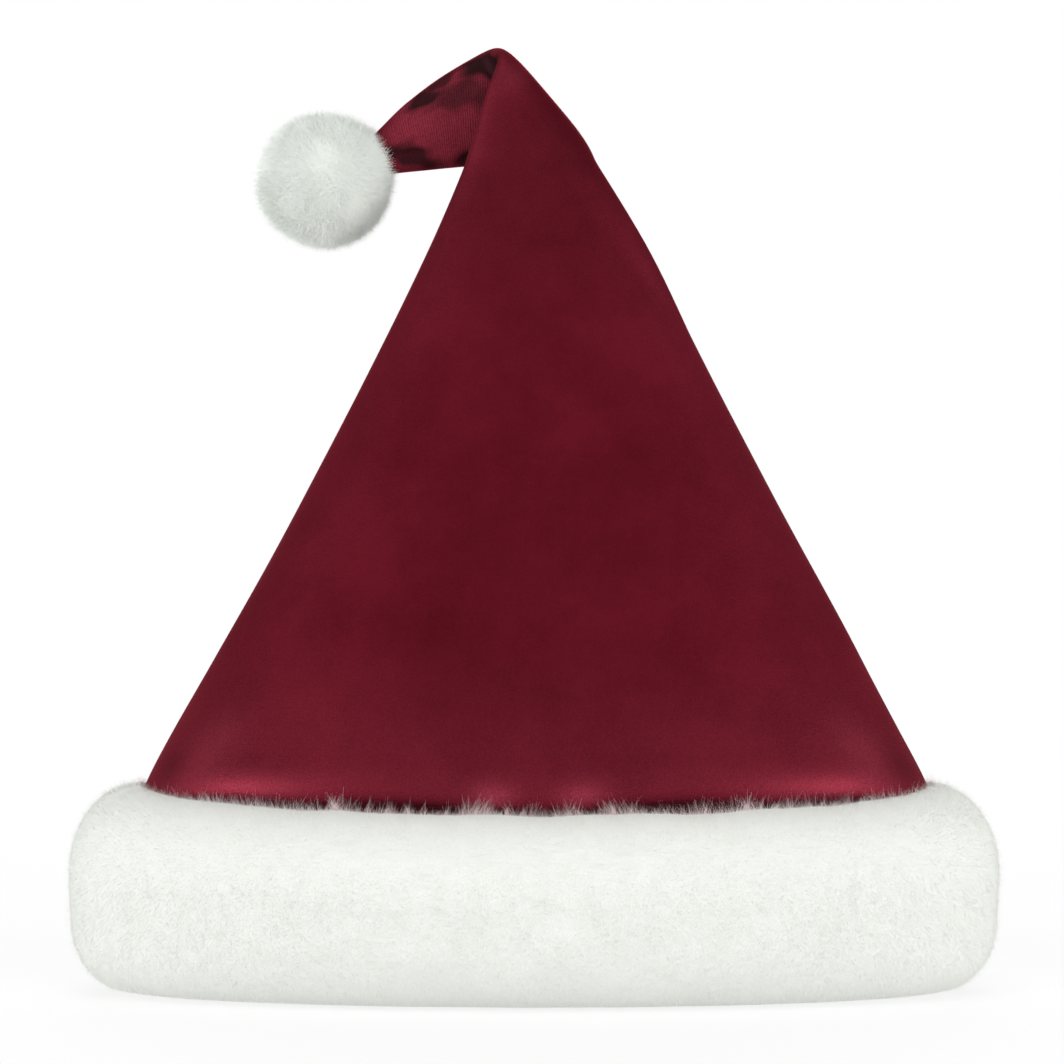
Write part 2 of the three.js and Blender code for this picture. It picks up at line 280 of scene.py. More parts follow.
def painted_light_values(at, angle):
    """Painted light over the outside, from bells and ramps by height and side. Painted highlight and sheen is
    a sum over the tail, the fold's crest, the roll and its gathers, the lower corners, the sides and the low
    and upper cone. Painted shade is a product of what the creases, the corners, the upper cone, the line
    under the roll and the seams leave. Ribbing shows over the tail and low at the sides."""
    height = ring_heights(at)
    side, front = np.abs(np.cos(angle)), np.sin(angle) < 0
    along = ((at - FOLD_ROW) / (TAIL_END_ROW - FOLD_ROW))[:, None]
    tail = ramp(at, FOLD_ROW + 0.6, FOLD_ROW + 0.9)[:, None]
    upper = ramp(height, 210, CONE_TOP) * (1 - tail)
    gather_height = 73 - 1.7 * bell(side, 0, MIDDLE_BREADTH)
    shadow_height = 68 + 2.8 * ramp(side, 0.5, 0.65)
    highlight_masks = {
        "tail": tail,
        "roll": bell(height, 74, 9),
        "crest": bell(along, 0.04, 0.07) * bell(np.cos(angle), -0.68, 0.22) * front,
        # brushed: a painted highlight low at the corners of the cone
        "brushed": bell(side, 0.86, 0.075) * bell(height, 84, 11),
        "side": side ** 4 * (1 - tail),
        "edge": side ** 12 * (1 - tail),
        "upper": upper,
        "low": ramp(height, 120, 90) * np.maximum(ramp(height, 76, 86), 0.4),
    }
    shade_masks = {
        "corner": bell(side, 0.945, 0.04) * bell(height, 80, 7),
        "upper": upper,
        "under": ramp(height, shadow_height, shadow_height - 4),
        "seams": side_seams(angle, height),
    }
    # Painted highlight on the gathers of the roll, then painted highlight and sheen in the places above
    pale = bell(height, gather_height, 4.3) * roll_gathers(angle)[1]
    for place, amount in PAINTED_HIGHLIGHT_SHARES.items():
        pale = pale + amount * highlight_masks[place]
    # Painted shade in the tail's creases, then in the places above
    shade = 1 - tail_creases(at, angle)[1]
    for place, amount in PAINTED_SHADE_SHARES.items():
        shade = shade * (1 - amount * shade_masks[place])
    ribs = 0.05 + 0.85 * tail + 0.35 * side ** 8 * ramp(height, 130, 100)
    return {"painted_shade": shade, "painted_highlight": pale, "ribbing": ribs}


def crown_mesh():
    """One wall: down inside from the closed end of the tail to the hem, and up again outside to the tip. Its
    map runs round the crown one way, and the other way up the outside and, above that, down the inside."""
    angle = np.linspace(0, 2 * np.pi, CROWN_ROUND, endpoint=False)
    steps = CROWN_SECTIONS[:-1, 6].astype(int)
    rows = [i + np.arange(n) / n for i, n in enumerate(steps)]
    outer_at = np.concatenate(rows + [[len(steps) - TIP_SHORT]])
    plain = crown_grid(outer_at, angle)
    outer = plain + grid_normals(plain) * crown_relief(outer_at, angle)[..., None]
    inner_at = outer_at[outer_at < TAIL_END_ROW - 0.5][::INSIDE_STEP][::-1]
    plain = crown_grid(inner_at, angle, -CLOTH)
    inner = plain - grid_normals(plain) * crown_relief(inner_at, angle)[..., None]
    rings = np.concatenate([inner, outer])
    ends = np.stack([inner[0].mean(0), outer[-1].mean(0)])
    points = np.concatenate([rings.reshape(-1, 3), ends]) * MM
    quads = ring_faces(len(rings), CROWN_ROUND)
    i = np.arange(CROWN_ROUND)
    j = (i + 1) % CROWN_ROUND
    first, last, top = len(points) - 2 + 0 * i, len(points) - 1 + 0 * i, (len(rings) - 1) * CROWN_ROUND
    fans = np.concatenate([np.stack([first, j, i], 1), np.stack([last, top + i, top + j], 1)])
    length = np.concatenate([[0], np.cumsum(np.linalg.norm(np.diff(outer, axis=0), axis=2).mean(1))])
    down = 1 - INSIDE_SHARE * np.arange(len(inner)) / len(inner)
    rise = np.concatenate([down, OUTSIDE_SHARE * length / length[-1]])
    row, column = np.divmod(np.arange(len(quads)), CROWN_ROUND)
    u0, u1 = column / CROWN_ROUND, (column + 1) / CROWN_ROUND
    v0, v1 = rise[row], rise[row + 1]
    quad_uv = np.stack([u0, v0, u1, v0, u1, v1, u0, v1], 1).reshape(-1, 2)
    u0, u1, flat = i / CROWN_ROUND, (i + 1) / CROWN_ROUND, 0.0 * i
    inner_end, outer_end = flat + 1 - END_SHARE, flat + OUTSIDE_SHARE
    inner_fan = np.stack([(u0 + u1) / 2, inner_end + END_SHARE, u1, inner_end, u0, inner_end], 1)
    outer_fan = np.stack([(u0 + u1) / 2, outer_end + END_SHARE, u0, outer_end, u1, outer_end], 1)
    uv = np.concatenate([quad_uv, inner_fan.reshape(-1, 2), outer_fan.reshape(-1, 2)])
    kinds = np.concatenate([row < len(inner), np.arange(2 * CROWN_ROUND) < CROWN_ROUND])
    piece = mesh_piece("crown_satin", points, [quads, fans], uv, kinds)
    # Painted shade, painted highlight and ribbing, kept on the points for the velour
    for name, value in painted_light_values(outer_at, angle).items():
        layer = piece.data.attributes.new(name, "FLOAT", "POINT")
        whole = np.concatenate([np.ones(inner.size // 3), (value + 0 * outer[..., 0]).ravel(), [1, 1]])
        layer.data.foreach_set("value", whole.astype(np.float32))
    return piece, length[-1]


def put(tree, socket, value):
    """A value into a socket: linked from another node, or set there directly."""
    if isinstance(value, bpy.types.NodeSocket):
        tree.links.new(value, socket)
    elif socket.type == "RGBA":
        socket.default_value = (*value[:3], 1)
    else:
        socket.default_value = value


def add_node(tree, kind, **settings):
    """A shader node with its properties set by name."""
    node = tree.nodes.new(kind)
    for key, value in settings.items():
        setattr(node, key, value)
    return node


def noise(tree, place, scale, detail=3.0, rough=0.55):
    """Cloudy noise of so many cells to the metre, over a place on the piece."""
    node = tree.nodes.new("ShaderNodeTexNoise")
    for socket, value in (("Vector", place), ("Scale", scale), ("Detail", detail), ("Roughness", rough)):
        put(tree, node.inputs[socket], value)
    return node.outputs["Fac"]


def spread(tree, value, low, high, out_low=0.0, out_high=1.0):
    """A value taken from one range to another and held at its ends."""
    node = tree.nodes.new("ShaderNodeMapRange")
    for socket, number in zip(node.inputs, (value, low, high, out_low, out_high)):
        put(tree, socket, number)
    return node.outputs["Result"]


def maths(tree, operation, a, b=0.0):
    """Arithmetic on two values, either of which may be a plain number."""
    node = add_node(tree, "ShaderNodeMath", operation=operation)
    put(tree, node.inputs[0], a)
    put(tree, node.inputs[1], b)
    return node.outputs[0]


def blend_colours(tree, share, a, b):
    """From colour a to colour b by a share; either may come from another node."""
    node = add_node(tree, "ShaderNodeMix", data_type="RGBA")
    for socket, value in ((0, share), (6, a), (7, b)):
        put(tree, node.inputs[socket], value)
    return node.outputs[2]


def split_map(tree):
    """The two coordinates of the piece's own map."""
    node = tree.nodes.new("ShaderNodeSeparateXYZ")
    put(tree, node.inputs[0], add_node(tree, "ShaderNodeUVMap", uv_map="OFBake").outputs["UV"])
    return node.outputs["X"], node.outputs["Y"]


def stored(tree, name):
    """A value kept on the piece's points."""
    return add_node(tree, "ShaderNodeAttribute", attribute_name=name).outputs["Fac"]


def new_material(name, **constants):
    """A material with a Principled shader, whose sockets that don't vary are set directly."""
    material = bpy.data.materials.new(name)
    material.use_nodes = True
    tree = material.node_tree
    shader = tree.nodes["Principled BSDF"]
    for socket, value in constants.items():
        put(tree, shader.inputs[socket.replace("_", " ")], value)
    return material, tree, shader


def raised(tree, shader, height, strength, depth):
    """A height given to a shader as bumps of so many metres."""
    node = tree.nodes.new("ShaderNodeBump")
    for socket, value in (("Strength", strength), ("Distance", depth), ("Height", height)):
        put(tree, node.inputs[socket], value)
    put(tree, shader.inputs["Normal"], node.outputs["Normal"])


def new_group(name, inputs, outputs):
    """A node group for an effect that materials share: its tree, what it is given and what it puts out."""
    tree = bpy.data.node_groups.new(name, "ShaderNodeTree")
    for way, sockets in (("INPUT", inputs), ("OUTPUT", outputs)):
        for socket, kind in sockets.items():
            tree.interface.new_socket(name=socket, in_out=way, socket_type="NodeSocket" + kind)
    return tree, tree.nodes.new("NodeGroupInput").outputs, tree.nodes.new("NodeGroupOutput").inputs


def place_group(tree, group, **values):
    """A shared effect placed in a material with values of its own; its outputs by name."""
    node = add_node(tree, "ShaderNodeGroup", node_tree=group)
    for socket, value in values.items():
        put(tree, node.inputs[socket], value)
    return node.outputs


def satin_velour(length):
    """Burgundy with a cloudy nap and fine ribs round the cone: paler, and speckled by the pile, where
    highlight and sheen are painted; dark where shade is painted, as in the creases; with a patchy gloss."""
    material, tree, shader = new_material(
        "satin_velour", Metallic=0.42, Specular_IOR_Level=0.0, Specular_Tint=(0.75, 0.22, 0.27),
        Sheen_Weight=0.04, Sheen_Roughness=0.35, Sheen_Tint=(0.85, 0.45, 0.5))
    place = tree.nodes.new("ShaderNodeTexCoord").outputs["Object"]
    clouds = noise(tree, place, CLOUD_CELLS, 5.0, 0.65)
    nap = noise(tree, place, NAP_CELLS, 2.0)
    pile = noise(tree, place, PILE_CELLS, 1.0)
    grain = noise(tree, place, GRAIN_CELLS, 2.0, 0.6)
    turns = maths(tree, "MULTIPLY", split_map(tree)[1], 2 * math.pi * length / OUTSIDE_SHARE / RIB_PITCH)
    ribs = maths(tree, "SINE", maths(tree, "ADD", turns, maths(tree, "MULTIPLY", nap, 2.4)))
    ribs = maths(tree, "MULTIPLY", ribs, stored(tree, "ribbing"))
    cloudy = spread(tree, clouds, 0.34, 0.66)
    deep = blend_colours(tree, cloudy, VELOUR_DEEP, VELOUR_FULL)
    fine = maths(tree, "ADD", maths(tree, "MULTIPLY", ribs, 1.6), spread(tree, pile, 0.3, 0.7))
    # Painted highlight and sheen, speckled by the pile, takes the colour towards a paler one
    speckled = spread(tree, pile, 0.3, 0.7, 0.6, 1.4)
    brushed = maths(tree, "MULTIPLY", stored(tree, "painted_highlight"), speckled)
    pale = maths(tree, "ADD", maths(tree, "MULTIPLY", fine, 0.08), brushed)
    lit = blend_colours(tree, pale, deep, VELOUR_PAINTED_HIGHLIGHT)
    # Painted shade takes it towards near black
    shaded = blend_colours(tree, stored(tree, "painted_shade"), VELOUR_PAINTED_SHADE, lit)
    put(tree, shader.inputs["Base Color"], shaded)
    gloss = maths(tree, "ADD", clouds, maths(tree, "MULTIPLY", nap, 0.4))
    put(tree, shader.inputs["Roughness"], spread(tree, gloss, 0.5, 0.9, 0.42, 0.54))
    cloth = maths(tree, "ADD", grain, maths(tree, "MULTIPLY", pile, 0.5))
    raised(tree, shader, maths(tree, "ADD", maths(tree, "MULTIPLY", ribs, 0.5), cloth), 0.3, 0.0003)
    return material


def knit_grain():
    """Grain of a knitted or woven back: cloudy noise of so many cells to the metre, which takes the colour
    from a low tone to a high one, and also gives the roughness and a height."""
    inputs = {"Place": "Vector", "Cells": "Float", "Low": "Color", "High": "Color"}
    outputs = {"Tone": "Color", "Roughness": "Float", "Height": "Float"}
    tree, given, out = new_group("knit_grain", inputs, outputs)
    grain = noise(tree, given["Place"], given["Cells"], 2.0)
    share = spread(tree, grain, 0.3, 0.7)
    put(tree, out["Tone"], blend_colours(tree, share, given["Low"], given["High"]))
    put(tree, out["Roughness"], spread(tree, share, 0.0, 1.0, 0.82, 0.97))
    put(tree, out["Height"], grain)
    return tree


def cloth_back(name, cells, low, high):
    """The matt back of a cloth, with the shared grain in two tones of its own."""
    material, tree, shader = new_material(name, Specular_IOR_Level=0.1)
    place = tree.nodes.new("ShaderNodeTexCoord").outputs["Object"]
    grain = place_group(tree, KNIT_GRAIN, Place=place, Cells=cells, Low=low, High=high)
    put(tree, shader.inputs["Base Color"], grain["Tone"])
    put(tree, shader.inputs["Roughness"], grain["Roughness"])
    raised(tree, shader, grain["Height"], 0.3, 0.0004)
    return material


KNIT_GRAIN = knit_grain()
crown, crown_length = crown_mesh()
crown.data.materials.append(satin_velour(crown_length))
crown.data.materials.append(cloth_back("velour_back", 1500.0, (0.06, 0.005, 0.010), (0.12, 0.012, 0.02)))
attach(crown, "root")
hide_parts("crown")

# CUFF
# A band of white plush, doubled over the hem of the crown and sewn through it, so that pile shows outside
# and inside. The outside stands full and round, is pressed flat on the floor and dips in front and behind.

cuff_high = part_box("cuff")[1]
CUFF_HEIGHT = cuff_high.z / MM
CUFF_DIP = 8.0
DIP_SOFT, DIP_POWER = 0.004, 0.4  # how softly the dip turns at the two ends, and how early it is full
PILE_OUT = cuff_high.x / MM - SEAM_HALF_WIDTH
BELLY_LOW, BELLY_HIGH = 24.0, 37.0
CREST_OUT, FLAT_OUT, THROAT_OUT = 8.0, 14.0, 0.4
SLOT_OUT, SLOT_IN, FACE_IN = 0.3, -2.0, -7.2
FACING_TOP, HEM_FLOOR, SEAM_TOP, TOE_RADIUS = 50.0, 11.7, 54.7, 5.0
CUFF_LUMP, CUFF_SLUMP = 0.5, 1.6  # its unevenness, and that of its two ends
LUMP_START, LUMP_FULL = 5.0, 13.0  # how far out the unevenness starts, and is full
SLUMP_RISE = 30.0  # height over which the ends' unevenness changes, from the belly's lower side
CUFF_ROUND = 240  # faces round the cuff
HAIR_COLUMNS = 64  # of the hairs' map, each a shade of its own
HAIR_EDGES = (0.002, 0.008, 0.0135)  # near edge, middle and far edge of a hair in its column
HAIR_TURN = 0.3  # radians that a hair is turned about its length, more or less
HAIR_TAPER = 0.8  # width of a bent hair at its middle, as a share of that at its root
HAIR_FLOOR = 0.3  # no hair of the pile reaches lower
PILE_SWAY, FLUFF_BEND = 0.12, 0.15  # slow waves in the brushing, and how far a bent hair bends, as shares
FRINGE_TUFTS = (-61, -19, 24, 66)  # where the hairs over the crown stand thickest, across it
TUFT_BREADTH, TUFT_GAIN, TUFT_MOST = 5.0, 0.9, 2.4  # the gain and the most are of the fringe's thickness
FRINGE_BASE, FRINGE_WAVES, END_THINNING = 0.9, 0.5, 0.6  # thickness, its waves, and less at the two ends


def arc(middle, half, start, end, count):
    """Points on an ellipse from one angle to another, in degrees."""
    a = np.radians(np.linspace(start, end, count))
    return np.stack([middle[0] + half[0] * np.cos(a), middle[1] + half[1] * np.sin(a)], 1)


def cuff_profile():
    """The outer form of the cuff's section as distance out from the seam and height, run round from the flat
    on the floor; with it how deep the pile is there, and how far it is brushed down (up if negative)."""
    facing_half = (FACE_IN - SLOT_IN) / -2
    heel = arc((FLAT_OUT, BELLY_LOW), (PILE_OUT - FLAT_OUT, BELLY_LOW), -90, 0, 14)
    shoulder = arc((CREST_OUT, BELLY_HIGH), (PILE_OUT - CREST_OUT, CUFF_HEIGHT - BELLY_HIGH), 0, 90, 18)
    throat = np.linspace((CREST_OUT, CUFF_HEIGHT), (THROAT_OUT, SEAM_TOP), 8)[1:]
    slot = np.array([(SLOT_OUT, HEM_FLOOR), (SLOT_IN, HEM_FLOOR), (SLOT_IN, FACING_TOP - facing_half)])
    top = arc((SLOT_IN - facing_half, FACING_TOP - facing_half), (facing_half, facing_half), 0, 180, 8)[1:]
    face = np.stack([np.full(8, FACE_IN), np.linspace(FACING_TOP - facing_half, TOE_RADIUS, 9)[1:]], 1)
    toe = arc((FACE_IN + TOE_RADIUS, TOE_RADIUS), (TOE_RADIUS, TOE_RADIUS), 180, 270, 7)[1:]
    floor = np.stack([np.linspace(FACE_IN + TOE_RADIUS, FLAT_OUT, 7)[1:-1], np.zeros(5)], 1)
    # Points of each part, with the pile's depth and brushing at its start and its end
    parts = ((heel, (0.6, 0.9), (0.7, 0.9)), (shoulder, (0.9, 0.9), (0.9, -0.5)),
             (throat, (0.9, 0.8), (-0.3, 0.3)), (slot, (0, 0), (0, 0)), (top, (1.0, 1.4), (0, 0.5)),
             (face, (1.4, 1.4), (0.8, 0.8)), (toe, (1.4, 0.8), (0.6, 0.4)), (floor, (0.8, 0.8), (0.2, 0.2)))
    form = np.concatenate([points for points, _, _ in parts])
    pile = np.concatenate([np.linspace(*depth, len(points)) for points, depth, _ in parts])
    brushed = np.concatenate([np.linspace(*lean, len(points)) for points, _, lean in parts])
    step = np.roll(form, -1, 0) - np.roll(form, 1, 0)
    square = np.stack([step[:, 1], -step[:, 0]], 1) / np.linalg.norm(step, axis=1)[:, None]
    return form, square, pile, brushed


def waves(seed, count, u, v, high):
    """Slow random waves over two parameters, from -1 to 1 or so: u goes round once in 2 pi, v is a length."""
    rng = np.random.default_rng(seed)
    total = np.zeros(np.broadcast(u, v).shape)
    for _ in range(count):
        turns, climb, phase = rng.integers(3, high), rng.uniform(-0.25, 0.25), rng.uniform(0, 2 * np.pi)
        total += np.sin(turns * u + climb * v + phase)
    return total / math.sqrt(count)


def cuff_place(angle, out, up):
    """A point of the cuff: the seam's oval, then square out from it, lower in front and behind, where the
    outside and the crest also have slow lumps; the left end is fuller high up, the right one slacker low."""
    seam = np.stack([SEAM_HALF_WIDTH * np.cos(angle), SEAM_HALF_DEPTH * np.sin(angle)], -1)
    square = np.stack([SEAM_HALF_DEPTH * np.cos(angle), SEAM_HALF_WIDTH * np.sin(angle)], -1)
    square /= np.linalg.norm(square, axis=-1, keepdims=True)
    rise = np.clip(up / CUFF_HEIGHT, 0, 1)
    dip = CUFF_DIP * (np.sin(angle) ** 2 + DIP_SOFT) ** DIP_POWER * rise * rise * (3 - 2 * rise)
    uneven = CUFF_LUMP * np.sin(angle) ** 2
    upper = ramp(up, BELLY_LOW, BELLY_LOW + SLUMP_RISE)
    slump = CUFF_SLUMP * np.cos(angle) ** 4 * np.where(np.cos(angle) < 0, upper, upper - 1)
    lump = (uneven * waves(3, 12, angle, up, 26) + slump) * ramp(out, LUMP_START, LUMP_FULL)
    crest = uneven * rise ** 4 * waves(4, 9, angle, 0 * up, 40)
    flat = seam + square * (out + lump)[..., None]
    return np.stack([flat[..., 0], flat[..., 1], up - dip + crest], -1)


def even_angles(share):
    """Angles at even shares of the length round the cuff's belly."""
    a = np.linspace(0, 2 * np.pi, 2001)
    p = cuff_place(a, np.full(a.shape, PILE_OUT), np.full(a.shape, BELLY_HIGH))
    way = np.concatenate([[0], np.cumsum(np.linalg.norm(np.diff(p, axis=0), axis=1))])
    return np.interp(share, way / way[-1], a)


def cuff_backing():
    """The woven back of the plush: the cuff's outer form, set in by the depth of the pile."""
    form, square, pile, _ = cuff_profile()
    skin = form - square * pile[:, None]
    angle = np.linspace(0, 2 * np.pi, CUFF_ROUND, endpoint=False)
    loop = np.concatenate([skin, skin[:1]])
    grid = cuff_place(angle + 0 * loop[:, :1], loop[:, :1] + 0 * angle, loop[:, 1:] + 0 * angle)
    points = grid[:-1].reshape(-1, 3) * MM
    faces = ring_faces(len(loop), CUFF_ROUND) % len(points)
    return mesh_piece("cuff_backing", points, [faces])


def unit(v):
    """Vectors at length one."""
    return v / np.linalg.norm(v, axis=-1, keepdims=True)


def hairs(name, root, tip, width, facing, rng, bend=None):
    """Flat tapering hairs in one mesh: a triangle from root to tip, or with a bend a quad to a middle pushed
    off the straight line and a triangle on. Each is turned a little about its length, its flat side mostly
    out. The map runs up each hair, in a column of its own."""
    count = len(root)
    along = unit(tip - root)
    flat = unit(np.cross(along, facing + 0.05 * rng.normal(size=(count, 3))))
    turn = rng.normal(0, HAIR_TURN, count)[:, None]
    across = (flat * np.cos(turn) + np.cross(along, flat) * np.sin(turn)) * width[:, None]
    column = rng.integers(0, HAIR_COLUMNS, count)[:, None] / HAIR_COLUMNS
    near, middle, far = (column + edge for edge in HAIR_EDGES)
    low, half, high = (np.full((count, 1), v) for v in (0.0, 0.5, 1.0))
    if bend is None:
        points = np.stack([root - across, root + across, tip], 1)
        faces = [3 * np.arange(count)[:, None] + np.array([0, 1, 2])]
        uv = np.concatenate([near, low, far, low, middle, high], 1).reshape(-1, 2)
    else:
        bent, taper = (root + tip) / 2 + bend, HAIR_TAPER * across
        points = np.stack([root - across, root + across, bent - taper, bent + taper, tip], 1)
        base = 5 * np.arange(count)[:, None]
        faces = [base + np.array([0, 1, 3, 2]), base + np.array([2, 3, 4])]
        lower = np.concatenate([near, low, far, low, far, half, near, half], 1).reshape(-1, 2)
        upper = np.concatenate([near, half, far, half, middle, high], 1).reshape(-1, 2)
        uv = np.concatenate([lower, upper])
    return mesh_piece(name, points.reshape(-1, 3) * MM, faces, uv)


def cuff_pile(name, part, stretch, count, seed, reach, width, stray, bent=False):
    """Pile over one part of the way round and one stretch of the section: hairs from the backing to the outer
    form times a reach, brushed along the section with slow waves, each straying a little its own way."""
    rng = np.random.default_rng(seed)
    form, square, pile, brushed = cuff_profile()
    way = np.concatenate([[0], np.cumsum(np.linalg.norm(np.diff(form, axis=0), axis=1))])
    at = rng.uniform(way[stretch[0]], way[stretch[1]], count)
    turn = even_angles(rng.uniform(*part, count))
    columns = np.column_stack([form, square, pile, brushed]).T
    out, up, n_out, n_up, deep, lean = (np.interp(at, way, column) for column in columns)
    root = cuff_place(turn, out - n_out * deep, up - n_up * deep)
    rest = cuff_place(turn, out, up)
    facing = unit(rest - root)
    down = unit(cuff_place(turn, out + n_up, up - n_out) - rest)
    side = np.cross(facing, down)
    lean = lean + PILE_SWAY * waves(5, 12, turn, at, 90) + rng.normal(0, stray, count)
    sway = PILE_SWAY * waves(6, 12, turn, at, 90) + rng.normal(0, stray, count)
    length = (deep * rng.uniform(*reach, count))[:, None]
    tip = root + length * (facing + down * lean[:, None] + side * sway[:, None])
    tip[:, 2] = np.maximum(tip[:, 2], HAIR_FLOOR)
    bend = facing * FLUFF_BEND * length if bent else None
    return hairs(name, root, tip, width * rng.uniform(0.7, 1.3, count), facing, rng, bend)


def cuff_fringe(name, count, seed, roots, lengths, over, width, tilt, tufted):
    """Longer hairs that stand up against the crown, from a stretch of the slope behind the cuff's crest, and
    no further over the crest than told: thicker in tufts by a share, tilted out or in, and leaning with
    their neighbours, in front towards the middle."""
    rng = np.random.default_rng(seed)
    turn = even_angles(rng.uniform(0, 1, 6 * count))
    thick = FRINGE_BASE + FRINGE_WAVES * tufted * waves(8, 9, turn, 0 * turn, 120)
    for place in FRINGE_TUFTS:
        thick += TUFT_GAIN * tufted * bell(SEAM_HALF_WIDTH * np.cos(turn), place, TUFT_BREADTH)
    thick *= 1 - END_THINNING * tufted * np.cos(turn) ** 4
    kept = np.flatnonzero(rng.random(len(turn)) < np.clip(thick, 0.25, TUFT_MOST) / TUFT_MOST)[:count]
    turn, thick, count = turn[kept], thick[kept], len(kept)
    out = rng.uniform(*roots, count)
    up = np.interp(out, (THROAT_OUT, CREST_OUT), (SEAM_TOP, CUFF_HEIGHT)) - 1
    root = cuff_place(turn, out, up)
    outward = cuff_place(turn, out + 1, up) - root
    side = np.stack([-outward[:, 1], outward[:, 0], 0 * out], 1)
    x = SEAM_HALF_WIDTH * np.cos(turn)
    inwards = -0.6 * np.tanh(x / 15) * bell(x, 0, 45)
    lean = inwards + 0.7 * waves(9, 9, turn, 0 * turn, 160) + rng.normal(0, 0.32, count)
    length = rng.uniform(*lengths, count) + lengths[1] * rng.random(count) ** 4
    length = np.minimum(length * (0.7 + 0.3 * np.clip(thick, 0, TUFT_MOST)), CUFF_HEIGHT + over - up)
    aim = np.array([0, 0, 1.0]) + outward * rng.normal(tilt, 0.25, count)[:, None] + side * lean[:, None]
    tip = root + unit(aim) * length[:, None]
    return hairs(name, root, tip, width * rng.uniform(0.6, 1.3, count), outward + [0, 0, 0.6], rng)


def fibre_tone():
    """Tone of a fur fibre from the hairs' map: greyer at the root and whiter at the tip, each column of the
    map taken back towards the root's tone by a share of its own, which also gives its roughness."""
    inputs = {"Up": "Float", "Across": "Float", "Root": "Color", "Tip": "Color"}
    tree, given, out = new_group("fibre_tone", inputs, {"Tone": "Color", "Roughness": "Float"})
    tone = blend_colours(tree, spread(tree, given["Up"], 0.0, 0.8), given["Root"], given["Tip"])
    column = maths(tree, "FLOOR", maths(tree, "MULTIPLY", given["Across"], HAIR_COLUMNS))
    own = maths(tree, "FRACT", maths(tree, "MULTIPLY", column, 0.618))
    put(tree, out["Tone"], blend_colours(tree, maths(tree, "MULTIPLY", own, 0.4), tone, given["Root"]))
    put(tree, out["Roughness"], spread(tree, own, 0.0, 1.0, 0.75, 0.95))
    return tree


def white_pile(name, root_colour, tip_colour, sheen=0.15):
    """Soft matt fur fibre, in the shared fibre tone between two colours of its own."""
    material, tree, shader = new_material(
        name, Specular_IOR_Level=0.15, Sheen_Weight=sheen, Sheen_Roughness=0.6)
    across, up = split_map(tree)
    fibre = place_group(tree, FIBRE_TONE, Up=up, Across=across, Root=root_colour, Tip=tip_colour)
    put(tree, shader.inputs["Base Color"], fibre["Tone"])
    put(tree, shader.inputs["Roughness"], fibre["Roughness"])
    return material


FIBRE_TONE = fibre_tone()
plush = white_pile("white_plush", (0.645, 0.655, 0.624), (0.694, 0.704, 0.673))
# Hairs next to the crown have red light painted in, as bounced off it
painted_red_bounce_plush = white_pile("painted_red_bounce_plush", (0.56, 0.40, 0.40), (0.80, 0.66, 0.66))
backing = cuff_backing()
backing.data.materials.append(cloth_back("plush_back", 1400.0, (0.66, 0.67, 0.64), (0.7, 0.71, 0.68)))
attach(backing, "root")
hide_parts("cuff")

# Profile rows where the outside's pile starts and ends, and the inside's
OUTSIDE, INSIDE = (2, 37), (44, 62)
QUARTERS = ("right_back", "left_back", "left_front", "right_front")
seam_hairs = [
    cuff_fringe("cuff_fringe", 10000, seed=50, roots=(6.4, 8.6), lengths=(1.4, 4.2),
                over=12.0, width=0.031, tilt=0.1, tufted=1.0),
    cuff_fringe("cuff_throat", 30000, seed=51, roots=(1.0, 7.0), lengths=(4.0, 8.0),
                over=0.0, width=0.06, tilt=-0.2, tufted=0.0)]
cuff_hairs = []
for number, quarter in enumerate(QUARTERS):
    part = (number / 4, (number + 1) / 4)
    cuff_hairs += [
        cuff_pile(f"cuff_pile_{quarter}", part, OUTSIDE, 95000, seed=20 + number,
                  reach=(0.8, 1.05), width=0.034, stray=0.14),
        cuff_pile(f"cuff_fluff_{quarter}", part, OUTSIDE, 17000, seed=30 + number,
                  reach=(1.0, 3.0), width=0.023, stray=0.3, bent=True),
        cuff_pile(f"cuff_facing_{quarter}", part, INSIDE, 6000, seed=40 + number,
                  reach=(0.8, 1.3), width=0.12, stray=0.3)]
for pieces, finish in ((seam_hairs, painted_red_bounce_plush), (cuff_hairs, plush)):
    for piece in pieces:
        piece.data.materials.append(finish)
        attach(piece, "root")

# POMPOM
# A ball of longer white pile tied round a small core, which the tip of the crown is sewn into. The hairs
# stand out all round, softly tousled, and fall a little over the end of the tail.

pompom_low, pompom_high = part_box("pompom")
POMPOM_MIDDLE = np.array((pompom_low + pompom_high) / 2) / MM
POMPOM_RADIUS = (pompom_high.z - pompom_low.z) / 2 / MM
CORE_RADIUS = 0.92 * POMPOM_RADIUS
CORE_ROUND, CORE_RINGS = 48, 25
TAIL_BARE = math.cos(math.radians(17))  # no hairs nearer than this to the way the tail comes in
TAIL_LIE = (0.79, 0.95)  # cosines from that way between which the hairs come to lie along the tail
LIE_OVER, LIE_LONGER = 0.2, 0.1  # how far those hairs lie over, and how much longer they are, as shares
TOUSLE, POMPOM_BEND = 0.08, 0.6  # share of its neighbours' push that a hair takes, and how far one bends
CORE_WAVES, POLE_GAP = 0.02, 0.02  # unevenness of the core, and radians from its poles to its end rings
tail_end = smooth_rows(CROWN_SECTIONS[:, :2], np.array([TAIL_END_ROW - 1.0]))
TAIL_WAY = unit(fold_back(tail_end[:, [0, 0, 1]] * [1, 0, 1])[0] - POMPOM_MIDDLE)


def even_ways(count):
    """Directions spread evenly over a sphere: equal steps of height, and the golden angle on at each step."""
    k = np.arange(count) + 0.5
    height, turn = 1 - 2 * k / count, k * math.pi * (3 - math.sqrt(5))
    flat = np.sqrt(1 - height ** 2)
    return np.stack([flat * np.cos(turn), flat * np.sin(turn), height], 1)


